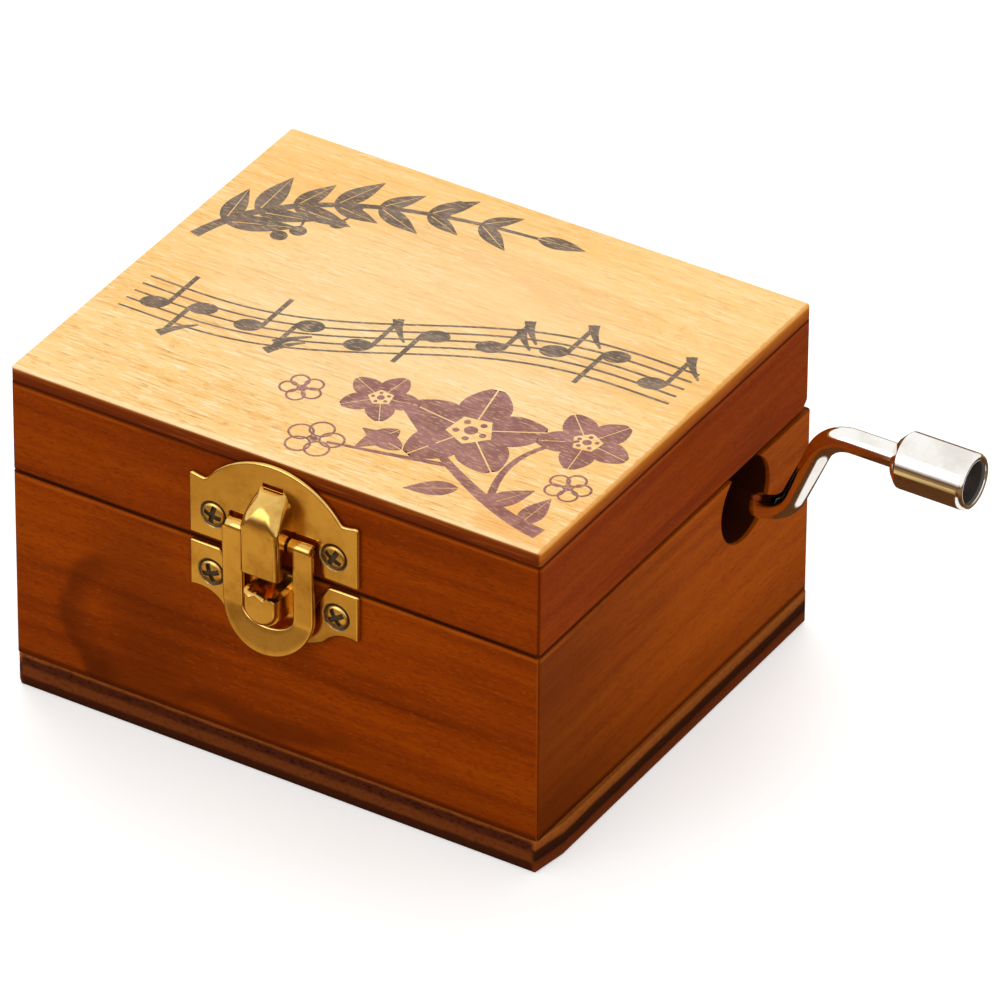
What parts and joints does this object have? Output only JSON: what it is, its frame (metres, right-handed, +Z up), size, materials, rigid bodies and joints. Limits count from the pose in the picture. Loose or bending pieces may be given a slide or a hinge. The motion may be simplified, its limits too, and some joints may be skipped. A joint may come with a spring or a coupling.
{
  "type": "hand cranked music box",
  "caption": "Small wooden box with a hinged lid, a brass hasp latch and a cranked, pinned-cylinder music movement inside.",
  "frame": {"origin": "centre of the box's underside", "axes": "+X to the crank's side, along the latch's face; +Y to the hinges at the back, so the latch faces -Y; +Z up"},
  "size_m": [0.0912, 0.0581, 0.04],
  "materials": {
    "stained_wood": "stained and lacquered",
    "golden_wood": "clear lacquered",
    "plywood": "stained and lacquered",
    "brass": "polished",
    "nickel": "bright nickel plated",
    "steel": "ground",
    "cast_zinc": "cast",
    "dark_plastic": "moulded"
  },
  "bodies": {
    "root": {"base_panel": "plywood", "front_wall": "stained_wood", "back_wall": "stained_wood", "left_wall": "stained_wood", "right_wall": "stained_wood", "hinge_left_box_leaf": "brass", "hinge_left_pin": "brass", "hinge_left_box_screw_1": "brass", "hinge_left_box_screw_2": "brass", "hinge_right_box_leaf": "brass", "hinge_right_pin": "brass", "hinge_right_box_screw_1": "brass", "hinge_right_box_screw_2": "brass", "latch_lower_plate": "brass", "latch_screw_lower_left": "brass", "latch_screw_lower_right": "brass", "bedplate": "cast_zinc", "front_arbor_bearing": "cast_zinc", "gear_bracket": "cast_zinc", "comb": "steel", "comb_screw_1": "steel", "comb_screw_2": "steel", "bearing_screw_1": "steel", "bearing_screw_2": "steel", "bracket_screw_1": "steel", "bracket_screw_2": "steel", "mount_screw_1": "steel", "mount_screw_2": "steel", "mount_screw_3": "steel"},
    "lid": {"lid_front_rail": "stained_wood", "lid_back_rail": "stained_wood", "lid_left_rail": "stained_wood", "lid_right_rail": "stained_wood", "lid_panel": "golden_wood", "hinge_left_lid_leaf": "brass", "hinge_left_lid_screw_1": "brass", "hinge_left_lid_screw_2": "brass", "hinge_right_lid_leaf": "brass", "hinge_right_lid_screw_1": "brass", "hinge_right_lid_screw_2": "brass", "latch_upper_plate": "brass", "hasp_pin": "brass", "latch_screw_upper_left": "brass", "latch_screw_upper_right": "brass"},
    "hasp": {"hasp": "brass"},
    "crank": {"worm_shaft": "steel", "crank_handle": "nickel"},
    "knob": {"crank_knob": "nickel"},
    "cylinder": {"music_cylinder": "brass", "cylinder_cap_front": "dark_plastic", "cylinder_cap_rear": "dark_plastic", "cylinder_arbor": "steel", "worm_wheel": "brass"}
  },
  "joints": [
    {"name": "lid_hinge", "type": "hinge", "parent": "root", "child": "lid", "pos_m": [0, 0.0265, 0.02715], "axis": [-1, 0, 0], "range_deg": [0, 105]},
    {"name": "hasp_swing", "type": "hinge", "parent": "lid", "child": "hasp", "pos_m": [0.00045, -0.02805, 0.03105], "axis": [-1, 0, 0], "range_deg": [0, 120]},
    {"name": "crank_spin", "type": "hinge", "parent": "root", "child": "crank", "pos_m": [0, 0.0138, 0.023], "axis": [1, 0, 0], "continuous": true},
    {"name": "knob_spin", "type": "hinge", "parent": "crank", "child": "knob", "pos_m": [0.0548, 0.0138, 0.03495], "axis": [1, 0, 0], "continuous": true},
    {"name": "cylinder_spin", "type": "hinge", "parent": "root", "child": "cylinder", "pos_m": [0.006, 0, 0.015], "axis": [0, 1, 0], "continuous": true}
  ],
  "couplings": [
    {"joint": "cylinder_spin", "follows": "crank_spin", "ratio": -0.05}
  ]
}
